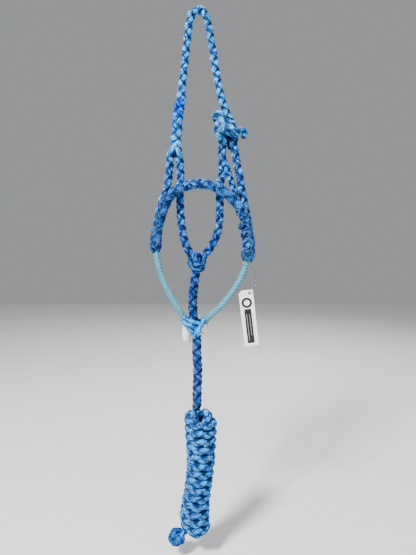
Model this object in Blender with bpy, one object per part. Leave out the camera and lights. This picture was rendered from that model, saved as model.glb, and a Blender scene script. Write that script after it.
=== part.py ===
"""Rope halter with a lariat nose loop and a hanked lead, hung by its crown.

Metres, +Z up. The origin is the underside of the crown braid, where a hook or a peg holds it.
+X is the tie-knot side of the halter and -Y is its front. The halter hangs flat in the XZ plane.
"""

import math

import bmesh
import bpy
from mathutils import Vector

MM = 0.001
GAP = 0.3 * MM
BEND_GAP = 0.9 * MM  # between two sleeves that meet on a curve

# Braid, rope and thread radii
CROWN_R = 6.8 * MM
CHEEK_R = 7.2 * MM
THROAT_R = 6.8 * MM
INNER_CHEEK_R = 5.9 * MM
CHIN_R = 7.8 * MM
LEAD_R = 8.0 * MM
LARIAT_R = 5.25 * MM
BAND_R = 8.6 * MM
BAND_BORE_R = LARIAT_R + GAP
BAND_END_R = 10.0 * MM
THREAD_R = 0.5 * MM

# Depths of the layers: the legs hang behind the nose loop
LEG_Y = 7.5
NOSE_Y = -9.0
TAG_Y = -16.0

# Pivots, in metres
FACE_PIVOT = Vector((3, LEG_Y, -222)) * MM
LEAD_PIVOT = Vector((-8, NOSE_Y, -508)) * MM
HANK_PIVOT = Vector((-8.4, NOSE_Y, -631)) * MM
TAG_PIVOT = Vector((77.3, TAG_Y, -438)) * MM

# Tag card
TAG_WIDTH = 23 * MM
TAG_LENGTH = 91 * MM
TAG_THICKNESS = 0.8 * MM
TAG_HOLE_R = 2.3 * MM
TAG_HOLE_FROM_TOP = 5.5 * MM
TAG_HOLE_OFF_CENTRE = 5.3 * MM
TAG_TILT = math.radians(6.5)
TAG_CORNER = 5 * MM

ROPE_SIDES = 12
RING_STEP = 10 * MM

# Routes through the middle of each braid, in millimetres, top to bottom where it has a top
CROWN_ROUTE = [
    (-41, 6, -203), (-39.8, 6, -190), (-37.9, 6, -174), (-37, 6, -158), (-34.8, 6, -142),
    (-31.2, 6, -127), (-26.8, 5, -89), (-21.5, 3, -51), (-17.5, 1, -22), (-14.5, 0, -7),
    (-8.8, 0, 3.4), (-1, 0, 6.8), (6.2, 0, 3.2), (11.2, 0, -7), (14.2, 1, -20), (17.4, 2, -35),
    (22.3, 4, -66), (26.6, 5, -92), (31.6, 5.5, -117), (36, 5, -134), (39, 5, -146),
]
EYE_ROUTE = [
    (34.9, 7, -213), (35, 7, -202), (34, 5, -190), (31.5, 3, -179), (33, 3, -170.5),
    (41, 5, -168.5), (47, 6, -176), (50, 6.5, -188), (53.3, 7, -201), (55.8, 7, -213),
]
TAIL_ROUTE = [
    (47.5, -10, -179), (52, -9.5, -183.5), (57.5, -9.5, -184), (62.5, -9.5, -182), (66.5, -9.5, -183.5),
    (69, -9, -190),
]
LEFT_CHEEK_ROUTE = [
    (-50.8, LEG_Y, -222), (-51.6, LEG_Y, -237), (-54, LEG_Y, -254), (-56.5, LEG_Y, -269),
    (-62, LEG_Y, -283), (-66.5, 8, -297), (-71, 9, -313), (-75, 10, -331), (-77.5, 10.5, -347),
    (-78, 10.5, -360),
]
LEFT_THROAT_ROUTE = [
    (-35.3, LEG_Y, -222), (-34, LEG_Y, -238), (-33.4, LEG_Y, -250), (-34.6, LEG_Y, -265),
    (-34.8, LEG_Y, -290), (-34, LEG_Y, -310), (-32.4, LEG_Y, -330), (-29, 7, -349),
    (-24, 6, -364), (-17, 5, -377),
]
RIGHT_THROAT_ROUTE = [
    (35, LEG_Y, -222), (35, LEG_Y, -234), (34.2, LEG_Y, -247), (31.2, LEG_Y, -261),
    (30.3, LEG_Y, -277), (30.6, LEG_Y, -296), (29.8, LEG_Y, -318), (27, LEG_Y, -338),
    (21, 7, -354), (12.5, 6, -368), (2.5, 5, -379),
]
INNER_CHEEK_ROUTE = [(41.5, 6, -243), (46.6, 5.5, -255), (50.4, 5, -266), (53.3, 4.6, -276)]
RIGHT_CHEEK_ROUTE = [
    (57, LEG_Y, -222), (59.5, LEG_Y, -235), (63, 8, -250), (65.5, 9, -266), (68.2, 9, -281),
    (71.8, 9, -297), (75.3, 9.2, -315), (78.4, 10.5, -334), (80.2, 12, -350), (81, 12.5, -362),
]
CHIN_ROUTE = [
    (-8.5, 4, -394), (-9.9, 3, -406), (-12.4, 0, -425), (-14.5, -3, -446), (-14.2, -5, -466),
    (-13.2, -7, -479), (-12.5, -9, -488),
]
# The lariat runs from its left whipped end, over the nose, and back to its right whipped end
LARIAT_ROUTE = [
    (-24.5, 3, -502), (-24.8, 2, -494), (-26.5, -1, -486), (-31, -6.5, -475), (-39.5, NOSE_Y, -461.5),
    (-51, NOSE_Y, -441.5), (-59.8, NOSE_Y, -422.5), (-66.5, NOSE_Y, -404), (-70.8, NOSE_Y, -386),
    (-73.4, NOSE_Y, -368), (-73.6, NOSE_Y, -356), (-72.1, NOSE_Y, -344), (-69.4, NOSE_Y, -330),
    (-64.3, NOSE_Y, -313), (-55.5, NOSE_Y, -291.5), (-41.6, NOSE_Y, -274.8),
    (-20, NOSE_Y, -265.3), (2.9, NOSE_Y, -262.9), (22.8, NOSE_Y, -267.6), (39, NOSE_Y, -277),
    (54.6, NOSE_Y, -290.5), (65.6, NOSE_Y, -308), (72.3, NOSE_Y, -326), (75.7, NOSE_Y, -346),
    (76.7, NOSE_Y, -364), (74.6, NOSE_Y, -386), (68, NOSE_Y, -406), (58.2, NOSE_Y, -425),
    (45.8, NOSE_Y, -443), (30.3, NOSE_Y, -461), (18, -8.5, -472), (9.5, -5, -481),
    (4.8, 1, -489.5), (4, 4, -497),
]
BAND_FROM_Z, BAND_TO_Z = -351 * MM, -362 * MM
LEFT_END_Z = -370 * MM
RIGHT_END_Z = -383 * MM
THREAD_ROUTE = [
    (77.3, TAG_Y, -438), (78.6, -12.4, -433), (84, -9, -425), (87.6, -6, -414), (85, -3, -401),
    (77, -1.2, -393.5), (68.5, -3, -390.5), (64.4, -9, -390), (67, -15.4, -391),
    (76, -17, -396), (85, -18, -407), (88.4, -18.8, -418), (84, -20, -428.5), (79, -19.6, -434.5),
]
# The free lead between the junction knot and the hank
LEAD_ROUTE = [
    (-8, NOSE_Y, -508), (-8.1, NOSE_Y, -524), (-8.3, NOSE_Y, -541), (-7, NOSE_Y, -560),
    (-7.4, NOSE_Y, -580), (-8.2, NOSE_Y, -600), (-8.4, NOSE_Y, -617), (-8.4, NOSE_Y, -631),
]
# The hank's outline: height, middle, half width and half depth, in millimetres
HANK_STATIONS = [
    (-640, -3, 13, 12), (-643, -2.5, 20, 17), (-648.5, -2.3, 26, 21), (-656, -2.3, 28, 23),
    (-695, -2.5, 26, 23), (-727, -3, 24.5, 22.5), (-766, -7.4, 24, 22), (-800, -12.8, 25, 22),
    (-823, -15.5, 26, 21.5), (-840, -13.6, 23, 20), (-852, -10, 17, 15), (-858, -8, 10, 10),
]
END_KNOT_AT = (-45, -12, -858)
END_KNOT_R = 16.0

BLUE = (0.07, 0.27, 0.66)
DEEP_BLUE = (0.03, 0.14, 0.48)
PALE_AQUA = (0.28, 0.55, 0.60)
WHITE = (0.86, 0.88, 0.87)
CLEAR = (0.80, 0.82, 0.84)


def clear_scene():
    for obj in list(bpy.data.objects):
        bpy.data.objects.remove(obj, do_unlink=True)


def material(name, colour, roughness):
    made = bpy.data.materials.new(name)
    made.use_nodes = True
    shader = made.node_tree.nodes["Principled BSDF"]
    shader.inputs["Base Color"].default_value = (*colour, 1.0)
    shader.inputs["Roughness"].default_value = roughness
    shader.inputs["Metallic"].default_value = 0.0
    return made


def body_empty(name, at):
    """The empty that stands on a moving body's joint axis."""
    empty = bpy.data.objects.new(name, None)
    empty.location = at
    empty.empty_display_size = 0.02
    bpy.context.collection.objects.link(empty)
    return empty


def place(name, mesh, body, colour, roughness=0.8, smooth=True):
    """Adds a mesh given in world space, with its origin on its body's joint axis."""
    for vertex in mesh.vertices:
        vertex.co -= body.location
    if smooth:
        mesh.shade_smooth()
        mesh.set_sharp_from_angle(angle=math.radians(50))
    obj = bpy.data.objects.new(name, mesh)
    obj.parent = body
    obj.data.materials.append(material(name + "_material", colour, roughness))
    bpy.context.collection.objects.link(obj)
    return obj


def cutter(mesh):
    """A hidden tool for a Boolean, given in world space."""
    obj = bpy.data.objects.new("cutter_" + mesh.name, mesh)
    obj.hide_render = True
    obj.display_type = "WIRE"
    bpy.context.collection.objects.link(obj)
    return obj


def combine(obj, mesh, operation):
    modifier = obj.modifiers.new(operation.lower(), "BOOLEAN")
    modifier.operation = operation
    modifier.solver = "EXACT"
    modifier.object = cutter(mesh)


def smooth_path(route, step=RING_STEP, closed=False):
    """Evenly spaced points, in metres, on a smooth curve through a route in millimetres."""
    points = [Vector(p) * MM for p in route]
    count = len(points)
    if closed:
        knots = [points[-1], *points, points[0], points[1]]
        spans = count
    else:
        before = points[0] * 2 - points[1]
        after = points[-1] * 2 - points[-2]
        knots = [before, *points, after]
        spans = count - 1
    fine = []
    for i in range(spans):
        a, b, c, d = knots[i : i + 4]
        for k in range(12):
            t = k / 12
            fine.append(
                0.5
                * (2 * b + (c - a) * t + (2 * a - 5 * b + 4 * c - d) * t**2
                   + (3 * b - a - 3 * c + d) * t**3)
            )
    fine.append(points[0].copy() if closed else points[-1].copy())
    lengths = [0.0]
    for p, q in zip(fine, fine[1:]):
        lengths.append(lengths[-1] + (q - p).length)
    pieces = max(2, round(lengths[-1] / step))
    made, at = [], 0
    for i in range(pieces + 1):
        target = lengths[-1] * i / pieces
        while at < len(fine) - 2 and lengths[at + 1] < target:
            at += 1
        span = lengths[at + 1] - lengths[at]
        made.append(fine[at].lerp(fine[at + 1], (target - lengths[at]) / span))
    return made[:-1] if closed else made


def frames(path, closed=False):
    """A tangent and two normals at each point, carried along the path without twisting."""
    count = len(path)
    tangents = []
    for i in range(count):
        ahead = path[(i + 1) % count] if closed else path[min(i + 1, count - 1)]
        behind = path[i - 1] if closed else path[max(i - 1, 0)]
        tangents.append((ahead - behind).normalized())
    side = tangents[0].orthogonal().normalized()
    found = []
    for tangent in tangents:
        side = (side - tangent * side.dot(tangent)).normalized()
        found.append((tangent, side, tangent.cross(side)))
    return found


def ring(bm, at, frame, radius, sides):
    _, side, other = frame
    turns = [2 * math.pi * k / sides for k in range(sides)]
    return [bm.verts.new(at + (side * math.cos(t) + other * math.sin(t)) * radius) for t in turns]


def join_rings(bm, first, second):
    count = len(first)
    for k in range(count):
        n = (k + 1) % count
        bm.faces.new((first[k], first[n], second[n], second[k]))


def mesh_from(bm, name):
    bmesh.ops.recalc_face_normals(bm, faces=bm.faces)
    mesh = bpy.data.meshes.new(name)
    bm.to_mesh(mesh)
    bm.free()
    return mesh


def rope(name, path, radius, sides=ROPE_SIDES, domes=(False, False)):
    """A solid round rope. A domed end is half a ball about the path's last point."""
    bm = bmesh.new()
    placed = frames(path)
    stations = [(p, f, radius) for p, f in zip(path, placed)]
    for end, (at, frame, _) in ((0, stations[0]), (1, stations[-1])):
        if not domes[end]:
            continue
        way = frame[0] if end else -frame[0]
        dome = []
        for angle in (math.radians(30), math.radians(60), math.radians(82)):
            dome.append((at + way * radius * math.sin(angle), frame, radius * math.cos(angle)))
        stations = stations + dome if end else dome[::-1] + stations
    rings = [ring(bm, at, frame, r, sides) for at, frame, r in stations]
    for first, second in zip(rings, rings[1:]):
        join_rings(bm, first, second)
    bm.faces.new(rings[0][::-1])
    bm.faces.new(rings[-1])
    return mesh_from(bm, name)


def looped_rope(name, path, radius, sides):
    """A rope whose end runs into its start."""
    bm = bmesh.new()
    rings = [ring(bm, p, f, radius, sides) for p, f in zip(path, frames(path, closed=True))]
    for first, second in zip(rings, rings[1:]):
        join_rings(bm, first, second)
    shift = min(range(sides), key=lambda k: (rings[-1][k].co - rings[0][0].co).length)
    last = [rings[-1][(k + shift) % sides] for k in range(sides)]
    join_rings(bm, last, rings[0])
    return mesh_from(bm, name)


def sleeve(name, path, outer, bore, sides=ROPE_SIDES):
    """A hollow braided cover, open at both ends."""
    bm = bmesh.new()
    placed = frames(path)
    outside = [ring(bm, p, f, outer, sides) for p, f in zip(path, placed)]
    inside = [ring(bm, p, f, bore, sides) for p, f in zip(path, placed)]
    for first, second in zip(outside, outside[1:]):
        join_rings(bm, first, second)
    for first, second in zip(inside, inside[1:]):
        join_rings(bm, second, first)
    join_rings(bm, inside[0], outside[0])
    join_rings(bm, outside[-1], inside[-1])
    return mesh_from(bm, name)


def blob(name, centre, half_sizes, segments=16, rows=10):
    """A rounded knot body, in millimetres about its centre."""
    bm = bmesh.new()
    bmesh.ops.create_uvsphere(bm, u_segments=segments, v_segments=rows, radius=1.0)
    for vertex in bm.verts:
        vertex.co = Vector([c + h * v for c, h, v in zip(centre, half_sizes, vertex.co)]) * MM
    return mesh_from(bm, name)


def socket(path, radius, name):
    """The space a rope needs in a knot: the rope itself, with the gap all round."""
    start = path[0] + (path[0] - path[1]).normalized() * GAP
    end = path[-1] + (path[-1] - path[-2]).normalized() * GAP
    return rope(name, [start, *path[1:-1], end], radius + GAP, sides=16)


def build_crown(body):
    crown = smooth_path(CROWN_ROUTE)
    eye = smooth_path(EYE_ROUTE, step=6 * MM)
    tail = smooth_path(TAIL_ROUTE, step=6 * MM)
    place("crown_braid", rope("crown_braid", crown, CROWN_R), body, BLUE)
    place("tie_eye_braid", rope("tie_eye_braid", eye, THROAT_R), body, BLUE)
    place("crown_tail", rope("crown_tail", tail, CROWN_R, domes=(False, True)), body, BLUE)

    split = blob("left_split_knot", (-42, 7, -204), (12, 10, 10.2))
    split = place("left_split_knot", split, body, BLUE)
    combine(split, socket(crown, CROWN_R, "split_top"), "DIFFERENCE")

    hitch = place("tie_hitch", blob("tie_hitch", (39, 3.5, -170.5), (21, 17, 25.5)), body, DEEP_BLUE)
    combine(hitch, socket(eye, THROAT_R, "hitch_eye"), "DIFFERENCE")
    combine(hitch, socket(tail, CROWN_R, "hitch_tail"), "DIFFERENCE")
    combine(hitch, socket(crown, CROWN_R, "hitch_crown"), "DIFFERENCE")


def build_legs(body):
    left_throat = smooth_path(LEFT_THROAT_ROUTE)
    right_throat = smooth_path(RIGHT_THROAT_ROUTE)
    for name, path, radius in (
        ("left_cheek_braid", smooth_path(LEFT_CHEEK_ROUTE), CHEEK_R),
        ("left_throat_braid", left_throat, THROAT_R),
        ("right_throat_braid", right_throat, THROAT_R),
        ("right_outer_cheek_braid", smooth_path(RIGHT_CHEEK_ROUTE), CHEEK_R),
    ):
        place(name, rope(name, path, radius, domes=(True, False)), body, BLUE)
    inner = rope("right_inner_cheek_braid", smooth_path(INNER_CHEEK_ROUTE), INNER_CHEEK_R)
    inner = place("right_inner_cheek_braid", inner, body, BLUE)
    combine(inner, socket(right_throat, THROAT_R, "inner_cheek_top"), "DIFFERENCE")

    knot = place("chin_knot", blob("chin_knot", (-8, 4, -389), (14.5, 13, 16.3)), body, BLUE)
    for path, radius, name in (
        (left_throat, THROAT_R, "chin_left"),
        (right_throat, THROAT_R, "chin_right"),
        (smooth_path(CHIN_ROUTE), CHIN_R, "chin_low"),
    ):
        combine(knot, socket(path, radius, name), "DIFFERENCE")


def build_nose(body):
    lariat = smooth_path(LARIAT_ROUTE)
    place("lariat_core", rope("lariat_core", lariat, LARIAT_R), body, PALE_AQUA, 0.6)

    top = max(range(len(lariat)), key=lambda i: lariat[i].z)
    left, right = lariat[: top + 1], lariat[top + 1 :]
    left_end = [p for p in left if LEFT_END_Z - RING_STEP < p.z < BAND_FROM_Z and p.x < 0]
    right_end = [p for p in right if RIGHT_END_Z < p.z < BAND_TO_Z]
    band = [p for p in left if p.z >= BAND_FROM_Z] + [p for p in right if p.z >= BAND_TO_Z]
    place("noseband_cover", sleeve("noseband_cover", band, BAND_R, BAND_BORE_R), body, BLUE)
    for name, path, toward in (
        ("noseband_end_left", left_end, band[0]),
        ("noseband_end_right", right_end, band[-1]),
    ):
        near = 0 if (path[0] - toward).length < (path[-1] - toward).length else -1
        face = toward + (path[near] - toward).normalized() * BEND_GAP
        path = [face, *path] if near == 0 else [*path, face]
        place(name, sleeve(name, path, BAND_END_R, BAND_BORE_R), body, BLUE)

    chin = smooth_path(CHIN_ROUTE)
    place("chin_braid", rope("chin_braid", chin, CHIN_R), body, DEEP_BLUE)
    junction = blob("junction_knot", (-12.5, NOSE_Y, -486), (17.5, 12.5, 13.5))
    junction = place("junction_knot", junction, body, BLUE)
    for name, centre, half_sizes in (
        ("lariat_whipping_left", (-24.7, 3, -506), (8, 9, 14)),
        ("lariat_whipping_right", (4, 4.5, -499), (6, 7, 8)),
    ):
        whipping = place(name, blob(name, centre, half_sizes), body, WHITE)
        combine(whipping, socket(lariat, LARIAT_R, name + "_lariat"), "DIFFERENCE")
    combine(junction, socket(chin, CHIN_R, "junction_chin"), "DIFFERENCE")
    combine(junction, socket(lariat, LARIAT_R, "junction_lariat"), "DIFFERENCE")

    thread = smooth_path(THREAD_ROUTE, step=4 * MM, closed=True)
    place("tag_fastener", looped_rope("tag_fastener", thread, THREAD_R, 6), body, CLEAR, 0.3)


def build_tag(body):
    """A card that hangs from a thread through its punched hole, with its corners cut."""
    bm = bmesh.new()
    left = -TAG_WIDTH / 2 - TAG_HOLE_OFF_CENTRE
    right = TAG_WIDTH / 2 - TAG_HOLE_OFF_CENTRE
    top = TAG_HOLE_FROM_TOP
    bottom = top - TAG_LENGTH
    outline = [
        (left + TAG_CORNER, top),
        (left, top - TAG_CORNER),
        (left, bottom),
        (right, bottom),
        (right, top),
    ]
    face = bm.faces.new([bm.verts.new((x, -TAG_THICKNESS / 2, z)) for x, z in outline])
    raised = bmesh.ops.extrude_face_region(bm, geom=[face])
    for vertex in (v for v in raised["geom"] if isinstance(v, bmesh.types.BMVert)):
        vertex.co.y += TAG_THICKNESS
    turn, lean = math.cos(TAG_TILT), math.sin(TAG_TILT)
    for vertex in bm.verts:
        x, y, z = vertex.co
        vertex.co = TAG_PIVOT + Vector((x * turn - z * lean, y, x * lean + z * turn))
    card = place("tag_card", mesh_from(bm, "tag_card"), body, WHITE, 0.5, smooth=False)
    through = Vector((0, TAG_THICKNESS, 0))
    hole = rope("tag_hole", [TAG_PIVOT - through, TAG_PIVOT, TAG_PIVOT + through], TAG_HOLE_R, sides=24)
    combine(card, hole, "DIFFERENCE")


def build_lead_drop(body):
    """The free stretch of the lead, with rounded ends about its two pivots."""
    curve = bpy.data.curves.new("lead_drop", "CURVE")
    curve.dimensions = "3D"
    curve.bevel_depth = LEAD_R
    curve.bevel_resolution = 3
    curve.use_fill_caps = True
    curve.render_resolution_u = 0
    path = smooth_path(LEAD_ROUTE, step=12 * MM)
    spline = curve.splines.new("POLY")
    stations = [(p, 1.0) for p in path]
    for angle in (math.radians(35), math.radians(65), math.radians(82)):
        reach, share = LEAD_R * math.sin(angle), math.cos(angle)
        stations.insert(0, (path[0] + Vector((0, 0, reach)), share))
        stations.append((path[-1] - Vector((0, 0, reach)), share))
    spline.points.add(len(stations) - 1)
    for point, (at, share) in zip(spline.points, stations):
        point.co = (*(at - body.location), 1.0)
        point.radius = share
    obj = bpy.data.objects.new("lead_drop", curve)
    obj.parent = body
    curve.materials.append(material("lead_drop_material", BLUE, 0.8))
    bpy.context.collection.objects.link(obj)


def build_hank(body):
    bm = bmesh.new()
    sides = 22
    rings = []
    for z, middle, half_width, half_depth in HANK_STATIONS:
        loop = []
        for k in range(sides):
            turn = 2 * math.pi * k / sides
            x = middle + half_width * math.cos(turn)
            y = NOSE_Y + half_depth * math.sin(turn)
            loop.append(bm.verts.new(Vector((x, y, z)) * MM))
        rings.append(loop)
    for first, second in zip(rings, rings[1:]):
        join_rings(bm, first, second)
    bm.faces.new(rings[0])
    bm.faces.new(rings[-1][::-1])
    place("lead_hank", mesh_from(bm, "lead_hank"), body, BLUE)
    end_knot = blob("lead_end_knot", END_KNOT_AT, (END_KNOT_R,) * 3)
    place("lead_end_knot", end_knot, body, DEEP_BLUE)


clear_scene()
crown_body = body_empty("crown_body", Vector((0, 0, 0)))
face_body = body_empty("face_body", FACE_PIVOT)
lead_body = body_empty("lead_body", LEAD_PIVOT)
hank_body = body_empty("hank_body", HANK_PIVOT)
tag_body = body_empty("tag_body", TAG_PIVOT)
bpy.context.view_layer.update()
build_crown(crown_body)
build_legs(face_body)
build_nose(face_body)
build_lead_drop(lead_body)
build_hank(hank_body)
build_tag(tag_body)
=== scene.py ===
"""Looks of the rope halter: braids, knots, noseband, lariat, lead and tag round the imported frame."""

import math

import bpy
import numpy as np
from mathutils import Matrix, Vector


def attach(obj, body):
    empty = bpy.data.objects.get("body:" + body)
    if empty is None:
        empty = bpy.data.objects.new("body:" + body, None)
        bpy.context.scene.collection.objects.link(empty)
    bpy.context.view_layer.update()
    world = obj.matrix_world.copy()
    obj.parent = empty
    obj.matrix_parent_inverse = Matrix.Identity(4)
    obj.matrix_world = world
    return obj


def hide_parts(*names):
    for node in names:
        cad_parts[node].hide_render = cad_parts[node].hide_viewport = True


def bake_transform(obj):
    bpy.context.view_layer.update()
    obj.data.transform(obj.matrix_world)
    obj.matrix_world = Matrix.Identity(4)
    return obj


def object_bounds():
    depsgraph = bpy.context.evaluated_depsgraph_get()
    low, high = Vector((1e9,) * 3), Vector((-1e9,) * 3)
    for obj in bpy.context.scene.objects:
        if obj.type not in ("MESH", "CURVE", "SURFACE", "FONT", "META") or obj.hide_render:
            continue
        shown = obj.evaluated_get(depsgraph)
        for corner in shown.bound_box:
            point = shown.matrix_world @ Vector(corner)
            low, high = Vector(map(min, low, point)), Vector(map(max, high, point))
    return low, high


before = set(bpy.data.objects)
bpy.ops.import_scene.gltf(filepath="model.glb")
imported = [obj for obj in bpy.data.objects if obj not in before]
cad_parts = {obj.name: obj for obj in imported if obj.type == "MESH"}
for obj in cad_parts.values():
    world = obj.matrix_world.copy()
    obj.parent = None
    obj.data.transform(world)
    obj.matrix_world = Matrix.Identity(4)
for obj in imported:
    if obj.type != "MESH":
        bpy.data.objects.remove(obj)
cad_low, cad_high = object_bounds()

# Lengths are in metres. Routes are written in millimetres and scaled by MM.
MM = 0.001
FRONT = np.array([0.0, -1.0, 0.0])
TURN = 2 * math.pi
# Points on a smooth line for each span between two given ones
PER_SPAN = 16
# Each tube's map starts so much further round, so that no two strands have the same marks
MAP_STEP = 3.17

# ---------------------------------------------------------------- camera
FOCAL_MM, SENSOR_MM = 27.05, 36.0
CAMERA_AT = (0.0407, -0.683, -0.3576)
CAMERA_YAW, CAMERA_PITCH, CAMERA_ROLL = math.radians(2.52), math.radians(-4.70), math.radians(-0.37)


def make_camera():
    data = bpy.data.cameras.new("front_camera")
    data.lens, data.sensor_width, data.sensor_fit = FOCAL_MM, SENSOR_MM, "AUTO"
    data.clip_start, data.clip_end = 0.05, 20
    camera = bpy.data.objects.new("front_camera", data)
    bpy.context.collection.objects.link(camera)
    aim = (
        Matrix.Rotation(CAMERA_YAW, 4, "Z")
        @ Matrix.Rotation(math.pi / 2 + CAMERA_PITCH, 4, "X")
        @ Matrix.Rotation(CAMERA_ROLL, 4, "Z")
    )
    camera.matrix_world = Matrix.Translation(CAMERA_AT) @ aim
    bpy.context.scene.camera = camera


make_camera()


# ---------------------------------------------------------------- curves
def catmull(points, closed=False, per_span=PER_SPAN):
    """Dense points on a smooth curve through the given ones."""
    p = np.asarray(points, float)
    if closed:
        p = np.vstack([p[-1], p, p[0], p[1]])
    else:
        p = np.vstack([2 * p[0] - p[1], p, 2 * p[-1] - p[-2]])
    t = np.linspace(0, 1, per_span, endpoint=False)[:, None]
    made = []
    for a, b, c, d in zip(p, p[1:], p[2:], p[3:]):
        bend = (2 * a - 5 * b + 4 * c - d) * t**2 + (3 * b - a - 3 * c + d) * t**3
        made.append(0.5 * (2 * b + (c - a) * t + bend))
    made.append(p[-2][None])
    return np.vstack(made)


def lengths(points):
    """Length along a line at each of its points."""
    steps = np.linalg.norm(np.diff(points, axis=0), axis=1)
    return np.concatenate([[0], np.cumsum(steps)])


def rows_at(values, along, at):
    """Rows of a table that runs along a line, read off at other places on it."""
    return np.stack([np.interp(at, along, values[:, k]) for k in range(values.shape[1])], axis=1)


def unit(v):
    """Vectors of length 1."""
    return v / np.maximum(np.linalg.norm(v, axis=-1, keepdims=True), 1e-12)


def across_line(direction, tangent):
    """The part of a direction that is square to the line."""
    direction = np.broadcast_to(direction, tangent.shape)
    return unit(direction - tangent * np.sum(direction * tangent, axis=1, keepdims=True))


class Route:
    """A smooth line with a direction that its front faces, read off at any length along it."""

    def __init__(self, points, facing=FRONT, closed=False, per_span=PER_SPAN):
        line = catmull(points, closed, per_span)
        facing = np.asarray(facing, float)
        if facing.ndim == 2:
            rows = np.vstack([facing, facing[:1]]) if closed else facing
            at = np.linspace(0, len(rows) - 1, len(line))
            facing = rows_at(rows, np.arange(len(rows)), at)
        self.along = lengths(line)
        self.length = self.along[-1]
        self.closed = closed
        self.line = line
        tangent = unit(np.gradient(line, axis=0))
        if closed:
            tangent[0] = tangent[-1] = unit(tangent[0] + tangent[-1])
        self.front = across_line(facing, tangent)
        self.tangent = tangent

    def at(self, s):
        """Places, fronts and sides at lengths s; past an end the line goes straight on."""
        inside = np.clip(s, 0, self.length) if not self.closed else np.mod(s, self.length)
        shape = s.shape
        flat = inside.ravel()
        place = rows_at(self.line, self.along, flat)
        front = unit(rows_at(self.front, self.along, flat))
        tangent = unit(rows_at(self.tangent, self.along, flat))
        if not self.closed:
            place = place + tangent * (s.ravel() - flat)[:, None]
        side = unit(np.cross(tangent, front))
        return (v.reshape(*shape, 3) for v in (place, front, side))


# ---------------------------------------------------------------- meshes
class Skin:
    """Collects tubes into one mesh, with a map along and round each, and a shade for its gaps."""

    def __init__(self):
        self.verts, self.faces, self.uvs, self.shade = [], [], [], []
        self.count = 0
        self.tubes = 0

    def rings(self, ring, shade, closed=False):
        """One tube from its rings of points, each ring an equal number of points."""
        n, sides = ring.shape[:2]
        centre = ring.mean(axis=1)
        along = lengths(centre)
        closing = np.linalg.norm(centre[0] - centre[-1])
        base = self.tubes * MAP_STEP
        start = self.count
        self.verts.append(ring.reshape(-1, 3))
        self.shade.append(shade.reshape(-1))
        self.count += n * sides
        self.tubes += 1
        rows = n if closed else n - 1
        i = np.arange(rows)[:, None]
        k = np.arange(sides)[None, :]
        j, m = (i + 1) % n, (k + 1) % sides
        quads = np.stack([i * sides + k, i * sides + m, j * sides + m, j * sides + k], axis=-1) + start
        self.faces.extend(quads.reshape(-1, 4).tolist())
        u0 = along[:rows][:, None] + 0 * k
        u1 = np.append(along[1:], along[-1] + closing)[:rows][:, None] + 0 * k
        v0, v1 = base + (k + 0 * i) / sides, base + (k + 1 + 0 * i) / sides
        self.uvs.append(np.stack([u0, v0, u0, v1, u1, v1, u1, v0], axis=-1).reshape(-1, 2))
        if not closed:
            for first, u in ((start, along[0]), (start + (n - 1) * sides, along[-1])):
                loop = list(range(first, first + sides))
                self.faces.append(loop[::-1] if first == start else loop)
                self.uvs.append(np.tile([u, base + 0.5], (sides, 1)))

    def build(self, name, material):
        mesh = bpy.data.meshes.new(name)
        verts = np.vstack(self.verts)
        mesh.from_pydata(verts.tolist(), [], self.faces)
        layer = mesh.uv_layers.new(name="Strand")
        layer.data.foreach_set("uv", np.concatenate(self.uvs).astype(np.float32).ravel())
        shade = mesh.attributes.new("gap", "FLOAT", "POINT")
        shade.data.foreach_set("value", np.concatenate(self.shade).astype(np.float32))
        mesh.materials.append(material)
        mesh.shade_smooth()
        mesh.update()
        obj = bpy.data.objects.new(name, mesh)
        bpy.context.collection.objects.link(obj)
        return obj


def section(sides, power):
    """Points round a strand's section, starting on its inner side: out and across, -1 to 1, and the
    angle of each. A power under 1 makes the section squarer."""
    turn = np.arange(sides) / sides * TURN
    out, across = -np.cos(turn), np.sin(turn)
    return np.sign(out) * np.abs(out) ** power, np.sign(across) * np.abs(across) ** power, turn


def ease(x):
    """0 up to 0, 1 from 1, and smooth between them."""
    x = np.clip(x, 0, 1)
    return x * x * (3 - 2 * x)


def dome(away, reach):
    """0 at an end, rising round to 1 at reach from it."""
    x = np.clip(away / reach, 0, 1)
    return np.sqrt(np.clip(1 - (1 - x) ** 2, 0, 1))


def drawn_in(s, start, stop, ends, least):
    """Share of its full size that a tube has at each length, drawn in round to least at its ends."""
    share = np.ones(len(s))
    for reach, away in zip(ends, (s - start, stop - s)):
        if reach > 0:
            share = share * (least + (1 - least) * dome(away, reach))
    return share


def each(value, s):
    """A number, or a function of the length, as one value for each length."""
    return np.broadcast_to(np.asarray(value(s) if callable(value) else value, float), s.shape)


class Braid:
    """Sizes of a round braid, as shares of its width. Two strands turn each way."""

    # gap, edge and buried set the painted shade: between the strands, along each strand's edges, and between
    # the hank's turns
    def __init__(self, strand=0.60, thick=0.34, weave=0.26, curl=0.25, crease=0.10, sides=12,
                 step=0.0017, power=0.9, gap=(0.54, 0.92), swing=0.22, edge=0.5, buried=None):
        self.strand, self.thick, self.weave, self.curl = strand, thick, weave, curl
        self.crease, self.sides, self.step, self.power = crease, sides, step, power
        self.gap, self.swing, self.edge, self.buried = gap, swing, edge, buried


PLAIN = Braid()


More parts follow.
